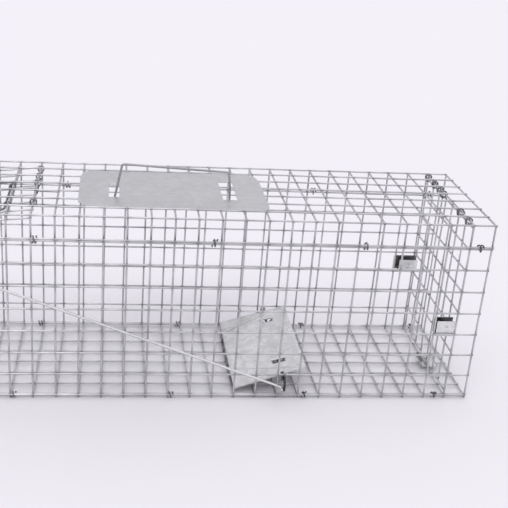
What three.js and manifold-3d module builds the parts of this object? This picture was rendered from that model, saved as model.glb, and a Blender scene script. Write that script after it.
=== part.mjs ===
// Live catch trap: welded-wire cage with a drop door, lock bar, treadle pan,
// trigger rod, swing-out rear panel and carrying handle. Millimetres, +Z up.
import * as THREE from 'three';
import Module from 'manifold-3d';

const wasm = await Module();
wasm.setup();

// ---- driving dimensions -------------------------------------------------
const PITCH = 25.4;          // mesh pitch along the length and across the width
const ROW = 27.2;            // mesh pitch up the walls
const I_FRONT = -7;          // first transverse wire, at the front mouth
const I_REAR = 21;           // last transverse wire
const J_WIDE = 7;            // cells across
const WIRE = 1.15;           // half-diagonal of the mesh wire's diamond section
const FOOT = 4.0;            // height of the bottom wires above the cut ends
const SEAM = 2.6;            // spacing of the doubled wires at a seam
const RING_R = 2.2;          // bend radius of a hog ring, to its wire centre
const RING_W = 0.7;          // half thickness of a hog ring's wire
const EDGE = 5.0;            // inset of the door's and rear panel's side wires
const HINGE_I = 1;           // transverse wire that carries the front door
const HINGE_DROP = 3.6;      // door's top wire below its hinge wire
const DOOR_CELLS = 9;        // door length in cells
const DOOR_TILT = 5.7;       // degrees below level when raised
const REAR_I = 20;           // transverse wire that carries the rear panel
const REAR_DROP = 4.2;       // rear panel's top wire below its hinge wire
const REAR_LOW = 9.5;        // height of the rear panel's bottom wire
const SPRING_R = 1.8;         // door spring's mean radius
const SPRING_W = 0.4;         // door spring's wire radius
const SPRING_TURNS = 9;
const LOCK_R = 1.25;         // lock bar wire radius
const LOCK_DX = -3.4;        // lock bar axis from transverse wire 0
const LOCK_DZ = -2.75;
const LOCK_LEG = 152;        // lock bar leg length
const LOCK_TILT = 5.8;       // degrees below level when raised
const ROD_R = 1.5;           // trigger rod and axle radius
const ROD_Y = -3.2;          // trigger rod centre, outside the near wall
const ROD_SLOPE = 20.96;     // degrees
const AXLE_I = 12.28;        // treadle axle position along the length
const AXLE_Z = 26.0;         // treadle axle height
const CRANK_Y = -7.0;        // plane of the crank, outside the trigger rod
const CRANK_LOW = 13.5;      // height of the crank's lower end
const PAN_W = 160;           // treadle pan width
const PAN_T = 0.9;           // treadle pan sheet
const PAN_CREASE = 35;        // side creases start this far in at the front and run out to the rear corners
const PAN_FLAPS = [10, 3];     // degrees that the near and far side flaps are bent down
const PAN_LIP = 5.5;          // front lip
const PAN_TILT = 15.9;       // degrees, front edge low
const BAIL_R = 1.4;          // handle wire radius
const BAIL_J = 2.5;          // handle pivot line across the width
const COARSE = false;        // true drops mesh lines for a quick look

const H = J_WIDE * PITCH;
const Z = k => FOOT + k * ROW;
const TOP = Z(8);
const rad = a => a * Math.PI / 180;
// the row frame has its origin under the middle of the whole part
const MID_X = 0, MID_Y = 0;
const X = i => (i - 7) * PITCH;
const Y = j => j * PITCH - H / 2;
const YW = -H / 2, YF = H / 2;   // near and far wall planes

const V = (x, y, z) => new THREE.Vector3(x, y, z);
const range = (a, b) => Array.from({ length: b - a + 1 }, (_, n) => a + n);
const pick = (full, few) => (COARSE ? few : full);
const US = pick(range(I_FRONT, I_REAR), [-7, -3, 0, 1, 6, 11, 16, 20, 21]);
const KS = pick(range(0, 7), [0, 2, 4, 7]);
const JS = pick(range(0, J_WIDE), [0, 3, 7]);

// ---- materials ----------------------------------------------------------
const mat = (name, color, metalness, roughness) =>
  Object.assign(new THREE.MeshStandardMaterial({ color, metalness, roughness }), { name });
const M = {
  wire: mat('galvanised_wire', 0x9fa2a6, 0.9, 0.42),
  sheet: mat('galvanised_sheet', 0xbfc1c4, 0.85, 0.38),
  rod: mat('bright_rod', 0xb4b6ba, 0.95, 0.25),
  ring: mat('hog_ring', 0x8e9195, 0.9, 0.45),
  spring: mat('spring_steel', 0x777a7e, 0.95, 0.35),
};

const group = new THREE.Group();
group.name = 'live_catch_trap';
const add = (name, geometry, material) => {
  const mesh = new THREE.Mesh(geometry, material);
  mesh.name = name;
  group.add(mesh);
};

const fromTriangles = (verts, tris) => {
  const g = new THREE.BufferGeometry();
  g.setAttribute('position', new THREE.BufferAttribute(new Float32Array(verts.flatMap(v => [v.x, v.y, v.z])), 3));
  let vol = 0;
  for (const [a, b, c] of tris) vol += verts[a].dot(V(0, 0, 0).crossVectors(verts[b], verts[c])) / 6;
  g.setIndex(vol < 0 ? tris.flatMap(([a, b, c]) => [a, c, b]) : tris.flat());
  g.computeVertexNormals();
  return g;
};

// ---- welded mesh panel --------------------------------------------------
// pos[u][v] are the weld points, tu/tv/n the local directions there. The wires
// have a diamond section; stub gives the length of the cut ends below v = 0.
function meshPanel(nu, nv, at, r, stub = 0) {
  const verts = [], tris = [];
  const push = v => verts.push(v) - 1;
  const quad = (a, b, c, d) => tris.push([a, b, c], [a, c, d]);
  const node = [];
  for (let u = 0; u < nu; u++) {
    node.push([]);
    for (let v = 0; v < nv; v++) {
      const { p, tu, tv, n } = at(u, v);
      const mid = (su, sv) => push(p.clone().addScaledVector(tu, su * r).addScaledVector(tv, sv * r));
      node[u].push({
        p, tu, tv, n,
        T: push(p.clone().addScaledVector(n, r)), B: push(p.clone().addScaledVector(n, -r)),
        pp: mid(1, 1), mp: mid(-1, 1), mm: mid(-1, -1), pm: mid(1, -1),
      });
    }
  }
  for (let u = 0; u < nu; u++) for (let v = 0; v < nv; v++) {
    const A = node[u][v];
    if (u + 1 < nu) {
      const C = node[u + 1][v];
      quad(A.T, C.T, C.mp, A.pp); quad(A.T, A.pm, C.mm, C.T);
      quad(A.B, A.pp, C.mp, C.B); quad(A.B, C.B, C.mm, A.pm);
    } else tris.push([A.T, A.pm, A.pp], [A.B, A.pp, A.pm]);
    if (u === 0) tris.push([A.T, A.mp, A.mm], [A.B, A.mm, A.mp]);
    if (v + 1 < nv) {
      const C = node[u][v + 1];
      quad(A.T, A.pp, C.pm, C.T); quad(A.T, C.T, C.mm, A.mp);
      quad(A.B, C.B, C.pm, A.pp); quad(A.B, A.mp, C.mm, C.B);
    } else tris.push([A.T, A.pp, A.mp], [A.B, A.mp, A.pp]);
    if (v === 0) {
      if (!stub) tris.push([A.T, A.mm, A.pm], [A.B, A.pm, A.mm]);
      else {
        const end = A.p.clone().addScaledVector(A.tv, -stub);
        const T = push(end.clone().addScaledVector(A.n, r)), B = push(end.clone().addScaledVector(A.n, -r));
        const m = push(end.clone().addScaledVector(A.tu, -r)), q = push(end.clone().addScaledVector(A.tu, r));
        quad(A.T, T, q, A.pm); quad(A.T, A.mm, m, T);
        quad(A.B, A.pm, q, B); quad(A.B, B, m, A.mm);
        quad(T, m, B, q);
      }
    }
  }
  return fromTriangles(verts, tris);
}

const ex = V(1, 0, 0), ey = V(0, 1, 0), ez = V(0, 0, 1);
const wallRow = k => (k === 7 ? Z(7) - SEAM / 2 : Z(k));
const wall = y => meshPanel(US.length, KS.length, (u, v) => ({
  p: V(X(US[u]), y, wallRow(KS[v])), tu: ex, tv: ez, n: V(0, -1, 0),
}), WIRE, FOOT);
add('near_wall', wall(YW), M.wire);
add('far_wall', wall(YF), M.wire);

const floorY = j => (j === 0 ? YW + SEAM : j === J_WIDE ? YF - SEAM : Y(j));
add('floor_panel', meshPanel(US.length, JS.length, (u, v) => ({
  p: V(X(US[u]), floorY(JS[v]), FOOT), tu: ex, tv: ey, n: ez,
}), WIRE), M.wire);

// top sheet, bent down one cell along both long edges
const topLine = [
  { y: YW, z: Z(7) + SEAM / 2, tv: V(0, 0, 1), n: V(0, -1, 0) },
  { y: YW, z: TOP, tv: V(0, 1, 1).normalize(), n: V(0, -1, 1).normalize() },
  ...JS.slice(1, -1).map(j => ({ y: Y(j), z: TOP, tv: ey, n: ez })),
  { y: YF, z: TOP, tv: V(0, 1, -1).normalize(), n: V(0, 1, 1).normalize() },
  { y: YF, z: Z(7) + SEAM / 2, tv: V(0, 0, -1), n: V(0, 1, 0) },
];
add('top_panel', meshPanel(US.length, topLine.length, (u, v) => {
  const l = topLine[v];
  return { p: V(X(US[u]), l.y, l.z), tu: ex, tv: l.tv, n: l.n };
}, WIRE), M.wire);

// ---- swinging mesh panels ----------------------------------------------
const panelY = j => YW + EDGE + j * (H - 2 * EDGE) / J_WIDE;
const rearRows = pick(range(0, 8), [0, 4, 8]);
const rearTop = TOP - REAR_DROP;
add('rear_panel', meshPanel(JS.length, rearRows.length, (u, v) => ({
  p: V(X(REAR_I), panelY(JS[u]), REAR_LOW + rearRows[v] * (rearTop - REAR_LOW) / 8), tu: ey, tv: ez, n: ex,
}), WIRE), M.wire);

const doorUp = V(Math.cos(rad(DOOR_TILT)), 0, Math.sin(rad(DOOR_TILT)));
const doorRows = pick(range(0, DOOR_CELLS), [0, 4, 9]);
add('front_door', meshPanel(JS.length, doorRows.length, (u, v) => ({
  p: V(X(HINGE_I), panelY(JS[u]), TOP - HINGE_DROP).addScaledVector(doorUp, (doorRows[v] - DOOR_CELLS) * PITCH),
  tu: ey, tv: doorUp, n: V(doorUp.z, 0, -doorUp.x),
}), WIRE), M.wire);

// ---- bent round wire ----------------------------------------------------
function tube(points, r, sides = 8) {
  const verts = [], tris = [];
  const dir = [];
  for (let i = 0; i + 1 < points.length; i++) dir.push(points[i + 1].clone().sub(points[i]).normalize());
  let ref = Math.abs(dir[0].z) < 0.9 ? V(0, 0, 1) : V(1, 0, 0);
  let a = V(0, 0, 0).crossVectors(dir[0], ref).normalize();
  points.forEach((p, i) => {
    const d0 = dir[Math.max(0, i - 1)], d1 = dir[Math.min(dir.length - 1, i)];
    const t = d0.clone().add(d1).normalize();
    if (i > 0) a = a.clone().addScaledVector(d0, -a.dot(d0)).normalize();
    const b = V(0, 0, 0).crossVectors(d0, a).normalize();
    for (let s = 0; s < sides; s++) {
      const w = 2 * Math.PI * (s + 0.5) / sides;
      const q = p.clone().addScaledVector(a, r * Math.cos(w)).addScaledVector(b, r * Math.sin(w));
      // slide along the wire onto the mitre plane
      q.addScaledVector(d0, -q.clone().sub(p).dot(t) / d0.dot(t));
      verts.push(q);
    }
    if (i < dir.length && i > 0) {
      const turn = new THREE.Quaternion().setFromUnitVectors(d0, d1);
      a = a.clone().applyQuaternion(turn);
    }
  });
  for (let i = 0; i + 1 < points.length; i++) for (let s = 0; s < sides; s++) {
    const n = (s + 1) % sides, p = i * sides, q = p + sides;
    tris.push([p + s, p + n, q + n], [p + s, q + n, q + s]);
  }
  const last = (points.length - 1) * sides;
  for (let s = 1; s + 1 < sides; s++) tris.push([0, s + 1, s], [last, last + s, last + s + 1]);
  return fromTriangles(verts, tris);
}
// round the corners of a path
function rounded(points, radius, steps = 4) {
  const out = [points[0]];
  for (let i = 1; i + 1 < points.length; i++) {
    const p = points[i], u = points[i - 1].clone().sub(p), w = points[i + 1].clone().sub(p);
    const lu = u.length(), lw = w.length(); u.normalize(); w.normalize();
    const half = Math.acos(THREE.MathUtils.clamp(u.dot(w), -1, 1)) / 2;
    const cut = Math.min(radius / Math.tan(half), lu * 0.49, lw * 0.49), R = cut * Math.tan(half);
    const c = p.clone().addScaledVector(u.clone().add(w).normalize(), R / Math.sin(half));
    const s = p.clone().addScaledVector(u, cut).sub(c), e = p.clone().addScaledVector(w, cut).sub(c);
    const span = Math.PI - 2 * half;
    for (let k = 0; k <= steps; k++) {
      const f = k / steps;
      out.push(c.clone()
        .addScaledVector(s, Math.sin((1 - f) * span) / Math.sin(span))
        .addScaledVector(e, Math.sin(f * span) / Math.sin(span)));
    }
  }
  out.push(points[points.length - 1]);
  return out;
}

// ---- closed hog ring round two parallel wires ---------------------------
function ring(cA, cB, R, r, normal) {
  const axis = cB.clone().sub(cA).normalize();
  const side = V(0, 0, 0).crossVectors(normal, axis).normalize();
  const path = [];
  for (let k = 0; k <= 4; k++) {
    const w = rad(-90 + 45 * k);
    path.push([cB, axis.clone().multiplyScalar(Math.cos(w)).addScaledVector(side, Math.sin(w))]);
  }
  for (let k = 0; k <= 4; k++) {
    const w = rad(90 + 45 * k);
    path.push([cA, axis.clone().multiplyScalar(Math.cos(w)).addScaledVector(side, Math.sin(w))]);
  }
  const verts = [], tris = [];
  for (const [c, d] of path) {
    const p = c.clone().addScaledVector(d, R);
    verts.push(p.clone().addScaledVector(d, r), p.clone().addScaledVector(normal, r),
      p.clone().addScaledVector(d, -r), p.clone().addScaledVector(normal, -r));
  }
  const n = path.length;
  for (let i = 0; i < n; i++) for (let s = 0; s < 4; s++) {
    const a = i * 4 + s, b = i * 4 + (s + 1) % 4, c = ((i + 1) % n) * 4 + (s + 1) % 4, d = ((i + 1) % n) * 4 + s;
    tris.push([a, b, c], [a, c, d]);
  }
  return fromTriangles(verts, tris);
}

// seam rings: wall to top flange, and wall to floor
const NEAR_SEAM = [-6.3, 1.16, 8.7, 15.3, 20.45];
const FAR_SEAM = [-6.3, 2.3, 8.3, 14.3, 20.3];
const NEAR_FOOT = [-6.3, 0.15, 7.15, 13.3, 19.5];
const FAR_FOOT = [-6.3, 0.85, 7.85, 14.4, 20.4];
NEAR_SEAM.forEach((i, n) => add(`near_seam_ring_${n + 1}`,
  ring(V(X(i), YW, Z(7) - SEAM / 2), V(X(i), YW, Z(7) + SEAM / 2), RING_R, RING_W, ex), M.ring));
FAR_SEAM.forEach((i, n) => add(`far_seam_ring_${n + 1}`,
  ring(V(X(i), YF, Z(7) - SEAM / 2), V(X(i), YF, Z(7) + SEAM / 2), RING_R, RING_W, ex), M.ring));
NEAR_FOOT.forEach((i, n) => add(`near_foot_ring_${n + 1}`,
  ring(V(X(i), YW, FOOT), V(X(i), YW + SEAM, FOOT), RING_R, RING_W, ex), M.ring));
FAR_FOOT.forEach((i, n) => add(`far_foot_ring_${n + 1}`,
  ring(V(X(i), YF - SEAM, FOOT), V(X(i), YF, FOOT), RING_R, RING_W, ex), M.ring));

// hinge rings
[0.7, 1.79, 4.24, 4.78, 5.61, 6.66].forEach((j, n) => add(`rear_hinge_ring_${n + 1}`,
  ring(V(X(REAR_I), Y(j), TOP), V(X(REAR_I), Y(j), rearTop), RING_R, RING_W, ey), M.ring));
[1.71, 4.26, 5.15, 6.22].forEach((j, n) => add(`door_hinge_ring_${n + 1}`,
  ring(V(X(HINGE_I), Y(j), TOP), V(X(HINGE_I), Y(j), TOP - HINGE_DROP), RING_R, RING_W, ey), M.ring));

// ---- door torsion spring ------------------------------------------------
{
  // wound on the door's top wire, between two of the door's long wires
  const z = TOP - HINGE_DROP, y0 = Y(3.1), y1 = Y(3.85), seg = 10, total = SPRING_TURNS * seg;
  const pts = [V(X(HINGE_I) + 26.8, y0, z + SPRING_R)];
  for (let k = 0; k <= total; k++) {
    const a = rad(90) + 2 * Math.PI * k / seg;
    pts.push(V(X(HINGE_I) + SPRING_R * Math.cos(a), y0 + (y1 - y0) * k / total, z + SPRING_R * Math.sin(a)));
  }
  // one leg bears on the roof, the other on the door
  pts.push(V(X(HINGE_I) - 26.3, y1, z - 0.85));
  add('door_spring', tube(pts, SPRING_W, 5), M.spring);
}

// ---- lock bar -----------------------------------------------------------
{
  const x = X(0) + LOCK_DX, z = TOP + LOCK_DZ;
  const leg = V(-Math.cos(rad(LOCK_TILT)), 0, -Math.sin(rad(LOCK_TILT))).multiplyScalar(LOCK_LEG);
  const yn = Y(0.88), yf = Y(4.4);
  add('lock_bar', tube(rounded([
    V(x, yn, z).add(leg), V(x, yn, z), V(x, yf, z), V(x, yf, z).add(leg)], 5), LOCK_R), M.rod);
  [['near', 1.45], ['far', 3.75]].forEach(([s, j]) => add(`lock_ring_${s}`,
    ring(V(X(0), Y(j), TOP), V(x, Y(j), z), 2.3, RING_W, ey), M.ring));
}

// ---- sheet-metal helpers ------------------------------------------------
const geometryOf = solid => {
  const m = solid.getMesh(), g = new THREE.BufferGeometry(), p = [];
  for (let i = 0; i < m.vertProperties.length; i += m.numProp) p.push(...m.vertProperties.slice(i, i + 3));
  g.setAttribute('position', new THREE.BufferAttribute(new Float32Array(p), 3));
  g.setIndex(Array.from(m.triVerts));
  g.computeVertexNormals();
  return g;
};
const solidOf = g => {
  const src = g.index ? g.toNonIndexed() : g, pos = src.attributes.position, map = new Map(), verts = [], tris = [];
  for (let i = 0; i < pos.count; i++) {
    const k = [pos.getX(i), pos.getY(i), pos.getZ(i)].map(v => Math.round(v * 1e4)).join();
    if (!map.has(k)) { map.set(k, verts.length / 3); verts.push(pos.getX(i), pos.getY(i), pos.getZ(i)); }
    tris.push(map.get(k));
  }
  return new wasm.Manifold(new wasm.Mesh({ numProp: 3, vertProperties: new Float32Array(verts), triVerts: new Uint32Array(tris) }));
};
const box = (x0, x1, y0, y1, z0, z1) =>
  solidOf(new THREE.BoxGeometry(x1 - x0, y1 - y0, z1 - z0).translate((x0 + x1) / 2, (y0 + y1) / 2, (z0 + z1) / 2));
const prism = (shape, depth, place) => solidOf(
  new THREE.ExtrudeGeometry(shape, { depth, bevelEnabled: false, curveSegments: 8, steps: 1 }).applyMatrix4(place));
const join = list => list.reduce((a, b) => a.add(b));

// ---- handle plate and bail ---------------------------------------------
const PLATE_Z = TOP + WIRE + 0.3, PLATE_T = 0.8;
const SLOTS = [[4.18, 4.66, 2.22, 4.0], [9.2, 9.86, 2.22, 4.6]];
{
  const x0 = X(2.89), x1 = X(11.16), y0 = Y(1.0), y1 = Y(5.75);
  // corners cut at different sizes: front near, rear near, rear far, front far
  const s = new THREE.Shape([[x0 + 9, y0], [x1 - 5, y0], [x1, y0 + 9], [x1, y1 - 22], [x1 - 3, y1 - 9], [x1 - 11, y1],
    [x0 + 9, y1], [x0 + 2, y1 - 10], [x0, y1 - 22], [x0, y0 + 14]].map(([x, y]) => new THREE.Vector2(x, y)));
  let plate = prism(s, PLATE_T, new THREE.Matrix4().makeTranslation(0, 0, PLATE_Z));
  for (const [a, b, p, q] of SLOTS) plate = plate.subtract(box(X(a), X(b), Y(p), Y(q), PLATE_Z - 1, PLATE_Z + 2));
  add('handle_plate', geometryOf(plate), M.sheet);
}
{
  const y = Y(BAIL_J), z = TOP - 3.0;
  add('handle_bail', tube(rounded([
    V(X(3.78), y, z), V(X(4.43), y, z), V(X(4.75), y, TOP + 38.3), V(X(9.43), y, TOP + 30.7),
    V(X(9.52), y, z), V(X(10.22), y, z)], 5), BAIL_R), M.rod);
}

// ---- treadle pan and axle ----------------------------------------------
{
  // built flat about the axle, then tilted: local x along the pan, z up
  const ahead = (AXLE_I - 10.05) * PITCH / Math.cos(rad(PAN_TILT));
  const behind = (13.35 - AXLE_I) * PITCH / Math.cos(rad(PAN_TILT));
  const top = ROD_R + 0.35 + PAN_T, w = PAN_W / 2;
  const inner = w - PAN_CREASE;
  const plate = (pts, turn) => prism(new THREE.Shape(pts.map(([x, y]) => new THREE.Vector2(x, y))), PAN_T,
    turn.clone().multiply(new THREE.Matrix4().makeTranslation(0, 0, top - PAN_T)));
  const sheet = [
    plate([[-ahead, -inner - 0.1], [behind, -w], [behind, w], [-ahead, inner + 0.1]], new THREE.Matrix4()),
    box(-ahead, -ahead + PAN_T, -inner, inner, top - PAN_LIP, top),
    box(behind - PAN_T, behind, -w, w, top - 3.2, top),
  ];
  [-1, 1].forEach((s, n) => {
    const a = V(-ahead, s * inner, top), c = V(behind, s * w, top);
    const turn = new THREE.Matrix4().makeTranslation(a.x, a.y, a.z)
      .multiply(new THREE.Matrix4().makeRotationAxis(c.clone().sub(a).normalize(), -s * rad(PAN_FLAPS[n])))
      .multiply(new THREE.Matrix4().makeTranslation(-a.x, -a.y, -a.z));
    const tri = [[-ahead, s * inner], [behind, s * w], [-ahead, s * w]];
    sheet.push(plate(s > 0 ? tri : tri.slice().reverse(), turn));
  });
  const loops = [-52, 52];
  let pan = join(sheet);
  const bar = (r, len, c) => solidOf(new THREE.CylinderGeometry(r, r, len, 16).translate(0, c, 0));
  // the axle runs in two straps lanced out of the sheet
  pan = pan.subtract(bar(1.85, 2 * w + 10, 0));
  for (const c of loops) {
    pan = pan.subtract(box(-9, 9, c - 5.5, c - 3, top - 2, top + 1)).subtract(box(-9, 9, c + 3, c + 5.5, top - 2, top + 1));
    pan = pan.add(bar(2.9, 6, c)).subtract(bar(1.85, 12, c)).subtract(box(-3.4, 3.4, c - 4, c + 4, top, top + 4));
  }
  const g = geometryOf(pan);
  g.applyMatrix4(new THREE.Matrix4().makeRotationY(rad(-PAN_TILT)));
  g.translate(X(AXLE_I), Y(3.5), AXLE_Z);
  g.computeVertexNormals();
  add('treadle_pan', g, M.sheet);

  add('treadle_axle', tube(rounded([
    V(X(AXLE_I), YF + 5.5, AXLE_Z), V(X(AXLE_I), YW + CRANK_Y, AXLE_Z), V(X(AXLE_I), YW + CRANK_Y, CRANK_LOW)], 2.6), ROD_R), M.rod);

  // hangers hooked over the second wall wire, one each side
  const hanger = s => {
    const yWall = s < 0 ? YW : YF, t = 0.8;
    const inner = yWall - s * (WIRE + 0.35), outer = yWall + s * (WIRE + 0.35);
    const lo = (a, b) => [Math.min(a, b), Math.max(a, b)];
    const web = box(X(AXLE_I) - 4.5, X(AXLE_I) + 4.5, ...lo(inner, inner - s * t), AXLE_Z - 5, Z(1) + WIRE + 0.35 + t);
    const cap = box(X(AXLE_I) - 4.5, X(AXLE_I) + 4.5, ...lo(inner - s * t, outer), Z(1) + WIRE + 0.35, Z(1) + WIRE + 0.35 + t);
    const hole = solidOf(new THREE.CylinderGeometry(ROD_R + 0.3, ROD_R + 0.3, 8, 16).translate(X(AXLE_I), inner, AXLE_Z));
    return geometryOf(web.add(cap).subtract(hole));
  };
  add('axle_hanger_near', hanger(-1), M.sheet);
  add('axle_hanger_far', hanger(1), M.sheet);
}

// ---- trigger rod --------------------------------------------------------
{
  const y = YW + ROD_Y, xl = X(AXLE_I) - 2 * ROD_R - 0.4, zl = 16.8;
  const run = d => V(xl - d * Math.cos(rad(ROD_SLOPE)), y, zl + d * Math.sin(rad(ROD_SLOPE)));
  const reach = (xl - X(-5.15)) / Math.cos(rad(ROD_SLOPE));
  add('trigger_rod', tube(rounded([
    V(xl, YW - 11.5, zl), run(0), run(reach), V(X(-5.6), y, 198.75), V(X(-5.6), YW + 3.3, 198.75)], 2.4), ROD_R), M.rod);
  add('rod_guide_ring', ring(V(X(-3.2), YW, Z(6)), V(X(-3.2), y, run((xl - X(-3.2)) / Math.cos(rad(ROD_SLOPE))).z), 2.75, RING_W, ex), M.ring);
}

// ---- folded brackets at the rear panel ---------------------------------
const wallBracket = s => {
  const yWall = s < 0 ? YW : YF, t = 0.8;
  const back = yWall - s * (WIRE + 0.35), front = back - s * 9;
  const lo = (a, b) => [Math.min(a, b), Math.max(a, b)];
  const x0 = X(18.97), x1 = X(19.9), z0 = Z(s < 0 ? 2.88 : 3.08), z1 = z0 + 22.3;
  return geometryOf(join([
    box(x0, x1, ...lo(back, back - s * t), z0, z1),
    box(x0, x1, ...lo(front, front + s * t), z0, z1 - 3),
    box(x0, x1, ...lo(back, front), z0, z0 + t),
    box(x0, x0 + t, ...lo(back, front), z0, z1 - 3),
    box(x0 - 4, x0 + t, ...lo(back, back - s * t), z0 + 3, z1 - 3),
  ]));
};
add('bracket_near', wallBracket(-1), M.sheet);
add('bracket_far', wallBracket(1), M.sheet);
{
  const z = FOOT + WIRE + 0.3, t = 0.8, x0 = X(19.45), y0 = Y(2.5), y1 = Y(3.75);
  add('bracket_floor', geometryOf(join([
    box(x0, X(20.7), y0, y1, z, z + t),
    box(X(19.86) - t, X(19.86), y0, y1, z, z + 16),
    box(x0, x0 + t, y0 + 4, y1 - 4, z, z + 6),
  ])), M.sheet);
}

// put the origin under the middle of the whole part
const extent = new THREE.Box3();
for (const m of group.children) { m.geometry.computeBoundingBox(); extent.union(m.geometry.boundingBox); }
const centre = extent.getCenter(V(0, 0, 0));
for (const m of group.children) m.geometry.translate(-centre.x - MID_X, -centre.y - MID_Y, 0);
group.userData.shift = [-centre.x, -centre.y];

export default group;
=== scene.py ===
import math
import random
import bmesh
import bpy
import numpy as np
from mathutils import Matrix, Vector


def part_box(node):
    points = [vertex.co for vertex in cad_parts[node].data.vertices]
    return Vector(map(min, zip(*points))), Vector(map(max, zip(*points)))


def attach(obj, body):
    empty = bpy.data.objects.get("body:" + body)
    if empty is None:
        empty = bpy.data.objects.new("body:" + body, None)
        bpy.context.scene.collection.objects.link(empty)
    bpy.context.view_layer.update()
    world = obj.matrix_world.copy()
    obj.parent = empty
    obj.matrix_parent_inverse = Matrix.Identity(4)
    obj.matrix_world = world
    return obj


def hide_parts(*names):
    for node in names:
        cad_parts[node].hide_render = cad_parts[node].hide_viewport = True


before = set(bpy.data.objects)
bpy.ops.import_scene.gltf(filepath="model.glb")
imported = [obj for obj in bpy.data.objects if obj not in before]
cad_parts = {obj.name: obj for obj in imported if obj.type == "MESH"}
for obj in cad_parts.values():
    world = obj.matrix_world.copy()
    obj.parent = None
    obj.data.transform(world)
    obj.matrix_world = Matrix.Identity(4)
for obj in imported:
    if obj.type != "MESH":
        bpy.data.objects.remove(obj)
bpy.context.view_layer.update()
rnd = random.Random(7)

# ---- the part's own grid, in metres ------------------------------------
P, ROW, FOOT, SEAM, EDGE = 0.0254, 0.0272, 0.004, 0.0026, 0.005
H = 7 * P
lo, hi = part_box("near_wall")
SX = (lo[0] + hi[0]) / 2
SY = (lo[1] + hi[1]) / 2 + H / 2
X = lambda i: (i - 7) * P + SX
Y = lambda j: j * P - H / 2 + SY
Z = lambda k: FOOT + k * ROW
TOP, YW, YF = Z(8), Y(0), Y(7)
R = 0.00108                      # mesh wire radius
LAY = 0.0013                     # spacing of the two wire layers


def v3(*a):
    return np.array(a, float)


# ---- materials ----------------------------------------------------------
def nodes_of(name):
    m = bpy.data.materials.new(name)
    m.use_nodes = True
    t = m.node_tree
    t.nodes.clear()
    out = t.nodes.new("ShaderNodeOutputMaterial")
    b = t.nodes.new("ShaderNodeBsdfPrincipled")
    t.links.new(b.outputs[0], out.inputs[0])
    return m, t, b


def N(t, kind, **kw):
    n = t.nodes.new(kind)
    for k, v in kw.items():
        if k in n.inputs:
            n.inputs[k].default_value = v
        else:
            setattr(n, k, v)
    return n


def ramp(t, src, stops):
    r = t.nodes.new("ShaderNodeValToRGB")
    e = r.color_ramp.elements
    while len(e) < len(stops):
        e.new(0.5)
    for el, (pos, c) in zip(e, stops):
        el.position = pos
        el.color = (c, c, c, 1) if isinstance(c, (int, float)) else (*c, 1)
    t.links.new(src, r.inputs[0])
    return r.outputs[0]


def mix(t, fac, a, b, mode="MIX"):
    m = t.nodes.new("ShaderNodeMix")
    m.data_type = "RGBA"
    m.blend_type = mode
    for i, s in ((0, fac), (6, a), (7, b)):
        if isinstance(s, bpy.types.NodeSocket):
            t.links.new(s, m.inputs[i])
        elif i == 0:
            m.inputs[0].default_value = s
        else:
            m.inputs[i].default_value = (*s, 1)
    return m.outputs[2]


def coords(t, scale=(1, 1, 1)):
    c = t.nodes.new("ShaderNodeTexCoord")
    m = t.nodes.new("ShaderNodeMapping")
    m.inputs["Scale"].default_value = scale
    t.links.new(c.outputs["Object"], m.inputs["Vector"])
    return m.outputs[0]


def noise(t, vec, scale, detail=3, rough=0.55):
    n = N(t, "ShaderNodeTexNoise", Scale=scale, Detail=detail, Roughness=rough)
    t.links.new(vec, n.inputs["Vector"])
    return n.outputs["Fac"]


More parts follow.
